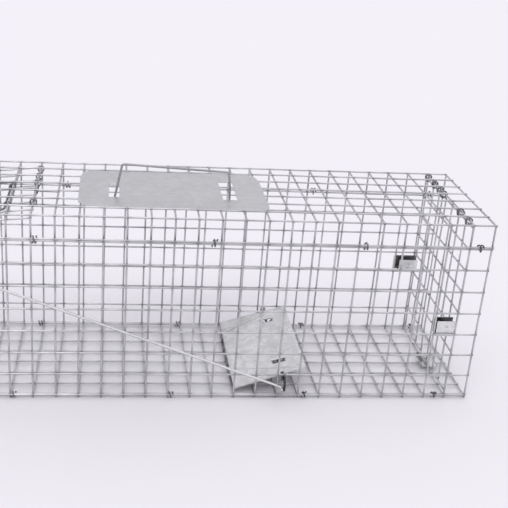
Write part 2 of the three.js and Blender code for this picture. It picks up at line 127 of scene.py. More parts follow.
def galvanised(name, low, high, rough, spangle=0.0, streak=0.0, weld_and_shade=False, bump=0.12, shade=None, folds=False):
    """Zinc-coated steel: cloudy tone, fine grain, optional spangle crystals, drawing streaks, darker welds whose
    attribute also carries painted shade on the trigger rod, optional painted shade from the shade attribute, and
    optional painted shade lines along the pan's creases.
    """
    m, t, b = nodes_of(name)
    base = coords(t)
    cloud = noise(t, base, 26, 4)
    fine = noise(t, base, 900, 2)
    col = mix(t, ramp(t, cloud, [(0.3, 0.0), (0.7, 1.0)]), low, high)
    col = mix(t, 0.22, col, ramp(t, fine, [(0.35, 0.45), (0.65, 0.95)]), "MULTIPLY")
    rsrc = ramp(t, cloud, [(0.3, rough + 0.08), (0.7, rough - 0.05)])
    height = fine
    if spangle:
        v = N(t, "ShaderNodeTexVoronoi", Scale=150.0, Randomness=1.0)
        warp = mix(t, 0.004, base, noise(t, base, 120, 2), "ADD")
        t.links.new(warp, v.inputs["Vector"])
        sep = t.nodes.new("ShaderNodeSeparateColor")
        t.links.new(v.outputs["Color"], sep.inputs[0])
        grain = ramp(t, sep.outputs[0], [(0.0, 1 - spangle), (1.0, 1.0)])
        col = mix(t, 0.9, col, grain, "MULTIPLY")
        rsrc = mix(t, 0.35, rsrc, ramp(t, sep.outputs[1], [(0.0, rough - 0.12), (1.0, rough + 0.16)]))
    if streak:
        s = noise(t, coords(t, (6, 220, 220)), 5, 4, 0.6)
        col = mix(t, streak, col, ramp(t, s, [(0.35, 0.55), (0.62, 1.0)]), "MULTIPLY")
        height = mix(t, 0.5, height, s)
    # thin white bloom and a few grey rubs
    bloom = ramp(t, noise(t, base, 60, 6, 0.7), [(0.60, 0.0), (0.74, 0.35)])
    col = mix(t, bloom, col, (0.78, 0.79, 0.81))
    # darkens welds; on the trigger rod the same attribute holds painted shade on the sides facing away from the top
    if weld_and_shade:
        a = t.nodes.new("ShaderNodeAttribute")
        a.attribute_name = "weld_and_shade"
        w = t.nodes.new("ShaderNodeMath")
        w.operation = "MULTIPLY"
        t.links.new(a.outputs["Fac"], w.inputs[0])
        t.links.new(ramp(t, noise(t, base, 240, 2), [(0.3, 0.25), (0.7, 0.75)]), w.inputs[1])
        col = mix(t, w.outputs[0], col, (0.16, 0.16, 0.17))
    if shade:
        # painted shade: surfaces marked in the shade attribute as turned away from the light are darkened toward the
        # shade colour and blotched by noise
        a = t.nodes.new("ShaderNodeAttribute")
        a.attribute_name = "shade"
        w = t.nodes.new("ShaderNodeMath")
        w.operation = "MULTIPLY"
        t.links.new(a.outputs["Fac"], w.inputs[0])
        t.links.new(ramp(t, noise(t, base, 95, 3), [(0.36, 1.0), (0.60, shade[1])]), w.inputs[1])
        col = mix(t, w.outputs[0], col, shade[0])
    # painted shade: a dark line along each marked crease, stronger on the far one, broken up by noise
    if folds:
        for key, depth in (("fold_far", 0.80), ("fold_near", 0.35)):
            a = t.nodes.new("ShaderNodeAttribute")
            a.attribute_name = key
            d = t.nodes.new("ShaderNodeMath")
            d.operation = "ABSOLUTE"
            t.links.new(a.outputs["Fac"], d.inputs[0])
            k = t.nodes.new("ShaderNodeMath")
            k.operation = "MULTIPLY"
            k.inputs[1].default_value = 1000.0
            t.links.new(d.outputs[0], k.inputs[0])
            line = ramp(t, k.outputs[0], [(0.30, depth), (0.75, 0.0)])
            crease_shade = mix(t, 1.0, line, ramp(t, noise(t, base, 70, 2), [(0.3, 0.35), (0.6, 1.0)]), "MULTIPLY")
            col = mix(t, crease_shade, col, (0.13, 0.13, 0.135))
    t.links.new(col, b.inputs["Base Color"])
    t.links.new(rsrc, b.inputs["Roughness"])
    b.inputs["Metallic"].default_value = 0.92
    bp = N(t, "ShaderNodeBump", Strength=bump, Distance=0.00025)
    t.links.new(height, bp.inputs["Height"])
    t.links.new(bp.outputs[0], b.inputs["Normal"])
    return m


MAT = {
    "wire": galvanised("galvanised_wire", (0.48, 0.483, 0.49), (0.72, 0.723, 0.73), 0.32, weld_and_shade=True),
    "plate": galvanised("galvanised_plate", (0.595, 0.60, 0.61), (0.645, 0.65, 0.66), 0.40, spangle=0.08, streak=0.07, bump=0.05),
    "pan": galvanised("galvanised_pan", (0.72, 0.72, 0.722), (0.90, 0.90, 0.902), 0.36, spangle=0.20, streak=0.10, bump=0.08,
                      shade=((0.025, 0.025, 0.028), 0.55), folds=True),
    "bracket": galvanised("galvanised_bracket", (0.80, 0.81, 0.80), (0.92, 0.925, 0.915), 0.30, spangle=0.16, streak=0.10, bump=0.06,
                          shade=((0.09, 0.095, 0.095), 0.8)),
    "rod": galvanised("bright_rod", (0.86, 0.862, 0.866), (0.96, 0.962, 0.966), 0.16, streak=0.18, weld_and_shade=True, bump=0.05),
    "bail": galvanised("handle_wire_steel", (0.32, 0.325, 0.335), (0.48, 0.485, 0.495), 0.26, streak=0.2, bump=0.05),
    # the near-black axle tone is painted shade: the axle and its crank sit in shadow
    "crank": galvanised("axle_steel_painted_shade", (0.05, 0.05, 0.053), (0.13, 0.13, 0.135), 0.42, streak=0.15),
    "ring": galvanised("hog_ring_steel", (0.10, 0.102, 0.106), (0.28, 0.284, 0.29), 0.34),
    "ring_light": galvanised("hog_ring_bright_steel", (0.24, 0.243, 0.25), (0.46, 0.464, 0.47), 0.32),
    "spring": galvanised("spring_steel", (0.10, 0.102, 0.107), (0.24, 0.243, 0.25), 0.34, streak=0.2),
    "lock": galvanised("lock_bar_steel", (0.16, 0.163, 0.17), (0.32, 0.323, 0.33), 0.34, streak=0.15),
}


# ---- mesh helpers -------------------------------------------------------
def make(name, verts, faces, mat, smooth=True, flat=(), weld_and_shade=None, body="cage", slot="wire", replaces=()):
    me = bpy.data.meshes.new(name)
    me.from_pydata([tuple(v) for v in verts], [], [tuple(f) for f in faces])
    me.validate()
    if smooth:
        flags = [True] * len(me.polygons)
        for f in flat:
            if f < len(flags):
                flags[f] = False
        me.polygons.foreach_set("use_smooth", flags)
    if weld_and_shade is not None:
        a = me.attributes.new("weld_and_shade", "FLOAT", "POINT")
        a.data.foreach_set("value", [float(w) for w in weld_and_shade])
    me.update()
    ob = bpy.data.objects.new(name, me)
    bpy.context.scene.collection.objects.link(ob)
    me.materials.append(MAT[mat])
    if replaces:
        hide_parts(*replaces)
    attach(ob, body)
    return ob


class Tubes:
    """Several round wires gathered in one mesh."""

    def __init__(self, sides=10):
        self.v, self.f, self.flat, self.w, self.sides = [], [], [], [], sides

    def add(self, pts, r, weld_and_shade=None, closed=False, taper=1.0, end=0.16):
        pts = [np.array(p, float) for p in pts]
        n = len(pts)
        seg = [pts[(i + 1) % n] - pts[i] for i in range(n if closed else n - 1)]
        seg = [s / np.linalg.norm(s) for s in seg]
        tan = []
        for i in range(n):
            a = seg[i - 1] if (closed or i) else seg[0]
            b = seg[i % len(seg)] if (closed or i < n - 1) else seg[-1]
            tan.append((a + b) / np.linalg.norm(a + b))
        ref = v3(0, 0, 1) if abs(tan[0][2]) < 0.9 else v3(1, 0, 0)
        a = np.cross(tan[0], ref)
        a /= np.linalg.norm(a)
        frames = []
        for i in range(n):
            a = a - tan[i] * a.dot(tan[i])
            a /= np.linalg.norm(a)
            frames.append((a, np.cross(tan[i], a)))
        S, base = self.sides, len(self.v)
        rings = []

        def ring(p, fa, fb, rr, w):
            rings.append(len(self.v))
            for s in range(S):
                q = 2 * math.pi * (s + 0.5) / S
                self.v.append(p + fa * rr * math.cos(q) + fb * rr * math.sin(q))
                self.w.append(w)

        rr = r if hasattr(r, "__len__") else [r] * n
        ww = weld_and_shade if weld_and_shade is not None else [0.0] * n
        if closed:
            for i in range(n):
                ring(pts[i], *frames[i], rr[i], ww[i])
        else:
            ring(pts[0], *frames[0], rr[0] * (1 - end * 1.6), ww[0])
            ring(pts[0] + tan[0] * rr[0] * end, *frames[0], rr[0], ww[0])
            for i in range(1, n - 1):
                ring(pts[i], *frames[i], rr[i], ww[i])
            ring(pts[-1] - tan[-1] * rr[-1] * end, *frames[-1], rr[-1], ww[-1])
            ring(pts[-1], *frames[-1], rr[-1] * (1 - end * 1.6) * taper, ww[-1])
        m = len(rings)
        for i in range(m if closed else m - 1):
            p, q = rings[i], rings[(i + 1) % m]
            for s in range(S):
                e = (s + 1) % S
                self.f.append((p + s, p + e, q + e, q + s))
        if not closed:
            self.flat.append(len(self.f))
            self.f.append(tuple(reversed(range(rings[0], rings[0] + S))))
            self.flat.append(len(self.f))
            self.f.append(tuple(range(rings[-1], rings[-1] + S)))

    def blob(self, c, a, b, n, ra, rn, w=1.0):
        """A small weld nugget: a flattened ball."""
        base, rows, cols = len(self.v), 4, 8
        for i in range(1, rows):
            th = math.pi * i / rows
            for j in range(cols):
                ph = 2 * math.pi * j / cols
                self.v.append(c + a * ra * math.sin(th) * math.cos(ph) + b * ra * math.sin(th) * math.sin(ph) + n * rn * math.cos(th))
                self.w.append(w)
        top, bot = len(self.v), len(self.v) + 1
        self.v += [c + n * rn, c - n * rn]
        self.w += [w, w]
        for i in range(rows - 2):
            for j in range(cols):
                e = (j + 1) % cols
                self.f.append((base + i * cols + j, base + (i + 1) * cols + j, base + (i + 1) * cols + e, base + i * cols + e))
        for j in range(cols):
            e = (j + 1) % cols
            self.f.append((top, base + j, base + e))
            self.f.append((bot, base + (rows - 2) * cols + e, base + (rows - 2) * cols + j))

    def finish(self, name, mat, **kw):
        return make(name, self.v, self.f, mat, flat=self.flat, weld_and_shade=self.w, **kw)


def fillet(pts, radius, steps=6):
    """Rounds the corners of a path."""
    pts = [np.array(p, float) for p in pts]
    out = [pts[0]]
    for i in range(1, len(pts) - 1):
        p, u, w = pts[i], pts[i - 1] - pts[i], pts[i + 1] - pts[i]
        lu, lw = np.linalg.norm(u), np.linalg.norm(w)
        u, w = u / lu, w / lw
        half = math.acos(max(-1, min(1, u.dot(w)))) / 2
        if half > math.pi / 2 - 0.02:
            out.append(p)
            continue
        cut = min(radius / math.tan(half), lu * 0.49, lw * 0.49)
        rad = cut * math.tan(half)
        c = p + (u + w) / np.linalg.norm(u + w) * rad / math.sin(half)
        s, e = p + u * cut - c, p + w * cut - c
        span = math.pi - 2 * half
        for k in range(steps + 1):
            f = k / steps
            out.append(c + s * math.sin((1 - f) * span) / math.sin(span) + e * math.sin(f * span) / math.sin(span))
    out.append(pts[-1])
    return out


# ---- welded mesh panels -------------------------------------------------
def panel(name, us, vs, at, body, replaces, u_off, v_off, end_u=0.0011, end_v=(0.0011, 0.0011), path_v=None, wob=0.00016):
    """us, vs are grid numbers; at(u, v) gives (point, tu, tv, n). u wires run along u, v wires along v."""
    t = Tubes(10)
    phase = rnd.random() * 6
    wave = lambda a, b: wob * math.sin(a * 1.7 + b * 2.3 + phase) + wob * 0.6 * math.sin(a * 0.6 - b * 1.1 + phase)

    def sub(line, ends, offset):
        """Subdivides between welds and adds the cut ends."""
        pts, ws = [], []
        (p0, d0), (p1, d1) = line[0][:2], line[-1][:2]
        pts.append(line[0][0] - line[0][1] * ends[0])
        ws.append(0.2)
        for k, (p, d, s) in enumerate(line):
            pts.append(p)
            ws.append(1.0)
            if k + 1 < len(line):
                q = line[k + 1][0]
                L = np.linalg.norm(q - p)
                for f in (0.0030 / L, 0.33, 0.5, 0.67, 1 - 0.0030 / L):
                    pts.append(p * (1 - f) + q * f + offset * wave(k + f, s) * math.sin(math.pi * f))
                    ws.append(0.25 if f in (0.0030 / L, 1 - 0.0030 / L) else 0.0)
        pts.append(line[-1][0] + line[-1][1] * ends[1])
        ws.append(0.2)
        return pts, ws

    for b, v in enumerate(vs):
        line, n0 = [], None
        for u in us:
            p, tu, tv, n = at(u, v)
            n0 = n
            line.append((p + n * u_off + tv * wave(u * 0.37, v * 5) * 0.6, tu, v * 3.1))
        pts, ws = sub(line, (end_u, end_u), n0)
        t.add(pts, R, ws)
    for u in us:
        if path_v:
            pts, ws = path_v(u)
        else:
            line = []
            for v in vs:
                p, tu, tv, n = at(u, v)
                line.append((p + n * v_off + tu * wave(v * 0.41, u * 3) * 0.6, tv, u * 2.7))
            pts, ws = sub(line, end_v, n)
        t.add(pts, R, ws)
    for u in us:
        for v in vs:
            p, tu, tv, n = at(u, v)
            t.blob(p + n * (u_off + v_off) / 2, tu, tv, n, R * 1.42, R * 0.78)
    return t.finish(name, "wire", body=body, replaces=replaces)


EX, EY, EZ = v3(1, 0, 0), v3(0, 1, 0), v3(0, 0, 1)
LEN = list(range(-7, 22))
wrow = lambda k: Z(7) - SEAM / 2 if k == 7 else Z(k)
for side, y, out, node in (("near", YW, -EY, "near_wall"), ("far", YF, EY, "far_wall")):
    panel(f"{side}_wall_mesh", LEN, list(range(8)),
          lambda i, k: (v3(X(i), y, wrow(k)), EX, EZ, out), "cage", [node], 0.0, -LAY,
          end_v=(FOOT - 0.0001, 0.0011))
fy = lambda j: YW + SEAM if j == 0 else YF - SEAM if j == 7 else Y(j)
panel("floor_mesh", LEN, list(range(8)), lambda i, j: (v3(X(i), fy(j), FOOT), EX, EY, EZ), "cage", ["floor_panel"],
      0.0, -LAY, end_v=(0.0010, 0.0010))

# top sheet: its cross wires bend down over both long edges
BEND = 0.0032
VTOP = -0.0003


def top_at(i, v):
    if v == 0:
        return v3(X(i), YW, Z(7) + SEAM / 2), EX, EZ, -EY
    if v == 1:
        n = v3(0, -1, 1) / math.sqrt(2)
        return v3(X(i), YW, TOP) - n * 0.0009, EX, v3(0, 1, 1) / math.sqrt(2), n
    if v == 8:
        n = v3(0, 1, 1) / math.sqrt(2)
        return v3(X(i), YF, TOP) - n * 0.0009, EX, v3(0, 1, -1) / math.sqrt(2), n
    if v == 9:
        return v3(X(i), YF, Z(7) + SEAM / 2), EX, -EZ, EY
    return v3(X(i), Y(v - 1), TOP), EX, EY, EZ


def top_wire(i):
    jit = lambda s: 0.00018 * math.sin(i * 1.9 + s)
    d = LAY
    a = [v3(X(i) + jit(0), YW + d, Z(7) + SEAM / 2 - 0.0010), v3(X(i) + jit(1), YW + d, TOP + VTOP),
         v3(X(i) + jit(2), YF - d, TOP + VTOP), v3(X(i) + jit(3), YF - d, Z(7) + SEAM / 2 - 0.0010)]
    base = fillet(a, BEND, 6)
    pts, ws = [], []
    for k in range(len(base) - 1):
        p, q = base[k], base[k + 1]
        pts.append(p)
        ws.append(0.15)
        if np.linalg.norm(q - p) > 0.05:
            for j in range(1, 7):
                for off, w in ((-0.003, 0.2), (0, 1.0), (0.003, 0.2)):
                    pts.append(v3(p[0] + (q[0] - p[0]) * j / 7, Y(j) + off, p[2]))
                    ws.append(w)
    pts.append(base[-1])
    ws.append(0.15)
    return pts, ws


top_mesh = panel("top_mesh", LEN, list(range(10)), top_at, "cage", ["top_panel"], LAY + VTOP, VTOP, path_v=top_wire)

top_mesh.visible_shadow = False     # the studio light is brighter under the roof than a bare sun and sky make it

# rear panel and front door
pj = lambda j: YW + EDGE + j * (H - 2 * EDGE) / 7
REAR_TOP, REAR_LOW = TOP - 0.0042, 0.0095
panel("rear_door_mesh", list(range(8)), list(range(9)),
      lambda j, k: (v3(X(20), pj(j), REAR_LOW + k * (REAR_TOP - REAR_LOW) / 8), EY, EZ, EX), "rear_panel", ["rear_panel"],
      0.0, LAY, end_u=0.0015, end_v=(0.0016, 0.0014), wob=0.00025)
DROP = 0.0036
DA = math.radians(5.7)
DUP = v3(math.cos(DA), 0, math.sin(DA))
DN = v3(DUP[2], 0, -DUP[0])
panel("front_door_mesh", list(range(8)), list(range(10)),
      lambda j, k: (v3(X(1), pj(j), TOP - DROP) + DUP * (k - 9) * P, EY, DUP, DN), "front_door", ["front_door"],
      0.0, LAY, end_u=0.0014, end_v=(0.0003, 0.0013), wob=0.00025)


# ---- hog rings ----------------------------------------------------------
def hog_ring(name, node, ca, cb, normal, body, across=0.0031, along=None, r=0.0008, laps=1.62, spread=0.0042, mat="ring"):
    """A C ring squeezed shut round two wires: an oval whose ends pass each other, so it looks like a loose double loop."""
    ca, cb, normal = map(lambda a: np.array(a, float), (ca, cb, normal))
    axis = (cb - ca) / np.linalg.norm(cb - ca)
    side = np.cross(normal, axis)
    mid = (ca + cb) / 2
    if along is None:
        along = np.linalg.norm(cb - ca) / 2 + R + r + 0.0003
    start = rnd.random()
    lean, twist = rnd.uniform(-0.16, 0.16), rnd.uniform(-0.10, 0.10)
    n = int(34 * laps)
    pts, rr = [], []
    for k in range(n + 1):
        f = k / n
        w = 2 * math.pi * (start + f * laps)
        squash = 1 + 0.05 * math.sin(3 * w + start * 9)
        da, ds = along * math.cos(w) * squash, across * math.sin(w) * squash
        pts.append(mid + axis * da + side * ds + normal * ((f - 0.5) * spread + lean * da + twist * ds))
        rr.append(r * (0.5 if k in (0, n) else 0.8 if k in (1, n - 1) else 1.0))
    t = Tubes(8)
    t.add(pts, rr)
    return t.finish(name, mat, body=body, slot="ring", replaces=[node])


SEAMS = {
    "near_seam": ([-6.3, 1.16, 8.7, 15.3, 20.45], lambda i: (v3(X(i), YW, Z(7) - SEAM / 2), v3(X(i), YW, Z(7) + SEAM / 2)), None),
    "far_seam": ([-6.3, 2.22, 8.3, 14.3, 20.3], lambda i: (v3(X(i), YF, Z(7) - SEAM / 2), v3(X(i), YF, Z(7) + SEAM / 2)), None),
    "near_foot": ([-6.3, 0.15, 7.15, 13.3, 19.5], lambda i: (v3(X(i), YW, FOOT), v3(X(i), YW + SEAM, FOOT)), 0.0024),
    "far_foot": ([-6.3, 0.85, 7.85, 14.4, 20.4], lambda i: (v3(X(i), YF - SEAM, FOOT), v3(X(i), YF, FOOT)), 0.0024),
}
for key, (places, ends, flat) in SEAMS.items():
    for n, i in enumerate(places):
        a, b = ends(i)
        hog_ring(f"hog_{key}_{n + 1}", f"{key}_ring_{n + 1}", a, b, EX, "cage", across=flat or 0.0033,
                 along=SEAM / 2 + R + 0.0014 if flat is None else None, spread=0.0056, r=0.00085, mat="ring_light" if key == "far_seam" else "ring")
REAR_RINGS = [0.7, 1.79, 4.24, 4.78, 5.61, 6.66]
for n, j in enumerate(REAR_RINGS):
    hog_ring(f"hog_rear_hinge_{n + 1}", f"rear_hinge_ring_{n + 1}", (X(20), Y(j), TOP), (X(20), Y(j), REAR_TOP), EY, "rear_panel",
             across=0.0037, spread=0.0038, r=0.00088, laps=1.75)
DOOR_RINGS = [1.71, 4.26, 5.15, 6.22]
for n, j in enumerate(DOOR_RINGS):
    hog_ring(f"hog_door_hinge_{n + 1}", f"door_hinge_ring_{n + 1}", (X(1), Y(j), TOP), (X(1), Y(j), TOP - DROP), EY, "cage",
             across=0.0034, spread=0.0034, mat="ring_light")
for s, j in (("near", 1.45), ("far", 3.75)):
    hog_ring(f"hog_lock_{s}", f"lock_ring_{s}", (X(0), Y(j), TOP - 0.0003), (X(0) - 0.0034, Y(j), TOP - 0.00275), EY, "cage",
             across=0.0024, along=0.0044, laps=1.12, spread=0.0018, r=0.0007, mat="ring_light")

# ---- door spring, wound on the door's top wire --------------------------
# the roof leg and its first turn stay with the cage; the coil and its other leg turn with the door
y0, y1, rad, turns, seg, sz = Y(3.1), Y(3.85), 0.0018, 20, 18, TOP - DROP
turn = lambda k: v3(X(1) + rad * math.cos(math.radians(90) + 2 * math.pi * k / seg), y0 + (y1 - y0) * k / (turns * seg),
                    sz + rad * math.sin(math.radians(90) + 2 * math.pi * k / seg))
t = Tubes(8)
t.add([v3(X(1) + 0.0266, y0 - 0.0004, sz + rad - 0.0001), v3(X(1) + 0.013, y0 - 0.0002, sz + rad + 0.0001)] + [turn(k) for k in range(seg)], 0.00042)
t.finish("torsion_spring_roof_leg", "spring", body="cage", slot="spring")
t = Tubes(8)
t.add([turn(k) + v3(0, 0.00022, 0) for k in range(seg, turns * seg + 1)]
      + [v3(X(1) - 0.006, y1, sz + rad - 0.0007), v3(X(1) - 0.0258, y1 + 0.0002, sz - 0.00075)], 0.00042)
t.finish("torsion_spring", "spring", body="front_door", slot="spring", replaces=["door_spring"])

# ---- lock bar -----------------------------------------------------------
x, z = X(0) - 0.0034, TOP - 0.00275
la = math.radians(5.8)
leg = v3(-math.cos(la), 0, -math.sin(la)) * 0.152
t = Tubes(14)
t.add(fillet([v3(x, Y(0.88), z) + leg, v3(x, Y(0.88), z), v3(x, Y(4.4), z), v3(x, Y(4.4), z) + leg], 0.005, 8), 0.00125)
t.finish("lock_bar_wire", "lock", body="lock_bar", slot="rod", replaces=["lock_bar"])

# ---- handle bail --------------------------------------------------------
y, z = Y(2.5), TOP - 0.003
t = Tubes(16)
t.add(fillet([(X(3.78), y, z), (X(4.43), y, z), (X(4.60), y + 0.0006, TOP + 0.019), (X(4.75), y, TOP + 0.0383),
              (X(9.42), y, TOP + 0.0322), (X(9.50), y - 0.0004, TOP + 0.015), (X(9.52), y, z), (X(10.22), y, z)], 0.0032, 9), 0.0013)
t.finish("handle_wire", "bail", body="handle_bail", slot="rod", replaces=["handle_bail"])

# ---- trigger rod --------------------------------------------------------
y, xl, zl, sl = YW - 0.0032, X(12.28) - 0.0034, 0.0168, math.radians(20.96)
run = lambda d: v3(xl - d * math.cos(sl), y, zl + d * math.sin(sl))
reach = (xl - X(-5.15)) / math.cos(sl)
t = Tubes(16)
t.add(fillet([v3(xl, YW - 0.0115, zl), run(0), run(reach), v3(X(-5.6), y, 0.19875), v3(X(-5.6), YW + 0.0033, 0.19875)], 0.0024, 7), 0.0015)
# painted shade: rod surface facing away from the top is darkened through the attribute that marks welds on the mesh
# wires
for k in range(0, len(t.v), 16):
    c = sum(t.v[k:k + 16]) / 16
    for q in range(k, min(k + 16, len(t.v))):
        d = t.v[q] - c
        up = d.dot(v3(-0.25, -0.62, 0.74)) / max(1e-9, np.linalg.norm(d))
        t.w[q] = 0.0 if up > 0.62 else min(1.0, (0.62 - up) * 2.2)
t.finish("trigger_wire", "rod", body="trigger_rod", slot="rod", replaces=["trigger_rod"])
hog_ring("hog_rod_guide", "rod_guide_ring", (X(-3.2), YW, Z(6)), (X(-3.2), y, run((xl - X(-3.2)) / math.cos(sl))[2]), EX, "cage",
         across=0.0034, along=0.0044, laps=1.15, spread=0.0022)

# ---- treadle axle with its crank ---------------------------------------
AZ = 0.026
t = Tubes(16)
t.add(fillet([(X(12.28), YF + 0.0055, AZ), (X(12.28), YW - 0.007, AZ), (X(12.28), YW - 0.007, 0.0135)], 0.0026, 8), 0.0015)
t.finish("treadle_axle_wire", "crank", body="treadle", slot="rod", replaces=["treadle_axle"])


# ---- sheet metal --------------------------------------------------------
def outline_sheet(name, loops, z0, thick, mat, edge=0.00018):
    """A flat sheet cut to closed outlines (first outer, then holes), with slightly broken edges."""
    cu = bpy.data.curves.new(name, "CURVE")
    cu.dimensions, cu.fill_mode = "2D", "BOTH"
    cu.extrude, cu.bevel_depth, cu.bevel_resolution = thick / 2 - edge, edge, 1
    for loop in loops:
        s = cu.splines.new("POLY")
        s.points.add(len(loop) - 1)
        for p, (a, b) in zip(s.points, loop):
            p.co = (a, b, 0, 1)
        s.use_cyclic_u = True
    ob = bpy.data.objects.new(name, cu)
    bpy.context.scene.collection.objects.link(ob)
    bpy.context.view_layer.update()
    me = bpy.data.meshes.new_from_object(ob.evaluated_get(bpy.context.evaluated_depsgraph_get()))
    bpy.data.objects.remove(ob)
    me.name = name
    me.transform(Matrix.Translation((0, 0, z0 + thick / 2)))
    me.materials.clear()
    me.materials.append(MAT[mat])
    o = bpy.data.objects.new(name, me)
    bpy.context.scene.collection.objects.link(o)
    return o


def round_poly(pts, r, steps=5):
    closed = fillet([v3(*pts[-1], 0)] + [v3(*p, 0) for p in pts] + [v3(*pts[0], 0)], r, steps)[1:-1]
    return [(p[0], p[1]) for p in closed]


x0, x1, ya, yb = X(2.89), X(11.16), Y(1.0), Y(5.75)
plate_z = TOP + 0.00145
outer = round_poly([(x0 + 0.009, ya), (x1 - 0.005, ya), (x1, ya + 0.009), (x1, yb - 0.022), (x1 - 0.003, yb - 0.009), (x1 - 0.011, yb),
                    (x0 + 0.009, yb), (x0 + 0.002, yb - 0.010), (x0, yb - 0.022), (x0, ya + 0.014)], 0.008)
holes = [round_poly([(X(a), Y(p)), (X(a), Y(q)), (X(b), Y(q)), (X(b), Y(p))], 0.0016)
         for a, b, p, q in ((4.18, 4.66, 2.22, 4.0), (9.2, 9.86, 2.22, 4.6))]
plate = outline_sheet("handle_sheet", [outer] + holes, plate_z, 0.0008, "plate")
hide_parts("handle_plate")
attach(plate, "cage")


def sheet_piece(name, V, F, thick, mat, body, nodes, place=None, edge=0.00014, crease=55, marks=None):
    """A thin shell given as one surface: thickened, with broken edges."""
    me = bpy.data.meshes.new(name)
    me.from_pydata([tuple(v) for v in V], [], F)
    me.update()
    for key, fn in (marks or {}).items():
        at = me.attributes.new(key, "FLOAT", "POINT")
        at.data.foreach_set("value", [float(fn(v)) for v in V])
    if place is not None:
        me.transform(place)
    bm = bmesh.new()
    bm.from_mesh(me)
    bmesh.ops.recalc_face_normals(bm, faces=bm.faces[:])
    bm.to_mesh(me)
    bm.free()
    me.polygons.foreach_set("use_smooth", [True] * len(me.polygons))
    o = bpy.data.objects.new(name, me)
    bpy.context.scene.collection.objects.link(o)
    me.materials.append(MAT[mat])
    m = o.modifiers.new("thick", "SOLIDIFY")
    m.thickness, m.offset = thick, 0
    m.use_even_offset = True
    b = o.modifiers.new("edge", "BEVEL")
    b.width, b.segments, b.limit_method, b.angle_limit = edge, 2, "ANGLE", math.radians(crease)
    b.harden_normals = False
    if nodes:
        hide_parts(*nodes)
    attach(o, body)
    return o


class Patch:
    """Grid surfaces whose shared points are merged."""

    def __init__(self):
        self.v, self.f, self.i = [], [], {}

    def p(self, q):
        key = tuple(round(float(c), 6) for c in q)
        if key not in self.i:
            self.i[key] = len(self.v)
            self.v.append(np.array(q, float))
        return self.i[key]

    def quad(self, a, b, c, d):
        f = []
        for q in (a, b, c, d):
            k = self.p(q)
            if k not in f:
                f.append(k)
        if len(f) > 2:
            self.f.append(tuple(f))

    def sweep(self, profile, a, b, steps=1, warp=None):
        """A polyline swept from offset a to offset b."""
        a, b = np.array(a, float), np.array(b, float)
        for k in range(steps):
            u, w = a + (b - a) * k / steps, a + (b - a) * (k + 1) / steps
            for p, q in zip(profile, profile[1:]):
                c = [p + u, q + u, q + w, p + w]
                self.quad(*([warp(x) for x in c] if warp else c))


# treadle pan, built flat about the axle: local x along the pan
PT = math.radians(15.9)
ahead, behind = (12.28 - 10.05) * P / math.cos(PT), (13.35 - 12.28) * P / math.cos(PT)
W, CREASE, T = 0.080, 0.035, 0.0009
zt = 0.0015 + 0.00035 + T / 2
inner = W - CREASE
flap = {-1: math.sin(math.radians(10)), 1: math.sin(math.radians(3))}
cu, cv = (behind + ahead), CREASE
cl = math.hypot(cu, cv)


def pan_z(a, b):
    """Height of the sheet: side flaps bent down past slanting creases, and a little hand-bent unevenness."""
    s = 1 if b > 0 else -1
    d = ((abs(b) - inner) * cu - (a + ahead) * cv) / cl
    e = 0.0011
    fold = 0 if d < -e else d if d > e else (d + e) ** 2 / (4 * e)
    uneven = 0.00018 * math.sin(a * 95 + 0.6) * math.sin(b * 58 + 1.1) * min(1.0, max(0.0, (abs(a) - 0.012) / 0.01))
    return zt - fold * flap[s] + uneven


def steps(lo, hi, marks, size):
    out = sorted({round(m, 6) for m in [lo, hi] + list(marks) if lo - 1e-9 <= m <= hi + 1e-9})
    res = []
    for a, b in zip(out, out[1:]):
        n = max(1, round((b - a) / size))
        res += [a + (b - a) * k / n for k in range(n)]
    return res + [out[-1]]


SX_, SY0, SY1 = 0.009, 0.0030, 0.0039
marks = [s * c + d for s in (-1, 1) for c in (0.052,) for d in (-SY1, -SY0, SY0, SY1)]
xs, ys = steps(-ahead, behind, [-SX_, SX_, 0], 0.0022), steps(-W, W, marks + [-inner, inner, 0], 0.0022)
pan = Patch()
for i in range(len(xs) - 1):
    for k in range(len(ys) - 1):
        xm, ym = (xs[i] + xs[i + 1]) / 2, (ys[k] + ys[k + 1]) / 2
        off = abs(abs(ym) - 0.052)
        if abs(xm) < SX_ and off < SY1:
            if off < SY0:
                def strap(a):
                    g = min(1.0, max(0.0, (abs(a) - 0.0021) / (SX_ - 0.0021)))
                    return -0.0023 + (zt + 0.0023) * (1 - math.cos(math.pi * g)) / 2
                pan.quad(*[(a, b, strap(a) if abs(a) < SX_ - 1e-7 else pan_z(a, b)) for a, b in
                           ((xs[i], ys[k]), (xs[i + 1], ys[k]), (xs[i + 1], ys[k + 1]), (xs[i], ys[k + 1]))])
            continue
        # notch where the axle passes the bent edge
        if abs(xm) < 0.0022 and abs(ym) > 0.0755:
            continue
        pan.quad(*[(a, b, pan_z(a, b)) for a, b in ((xs[i], ys[k]), (xs[i + 1], ys[k]), (xs[i + 1], ys[k + 1]), (xs[i], ys[k + 1]))])
for xe, s in ((-ahead, -1), (behind, 1)):
    for k in range(len(ys) - 1):
        row = []
        for yy in (ys[k], ys[k + 1]):
            depth = 0.0032 if s > 0 else 0.0056 - 0.0042 * min(1, max(0, (abs(yy) - inner) / 0.010))
            base = pan_z(xe, yy)
            # the front edge is turned down at a slant, the rear edge square
            ox, oz = (-0.66, -0.75) if s < 0 else (0.04, -1.0)
            row.append([(xe + ox * g * depth, yy, base + oz * g * depth) for g in (0, 0.12, 0.4, 0.7, 1.0)])
        for (p0, p1), (q0, q1) in zip(zip(row[0], row[0][1:]), zip(row[1], row[1][1:])):
            pan.quad(p0, p1, q1, q0)
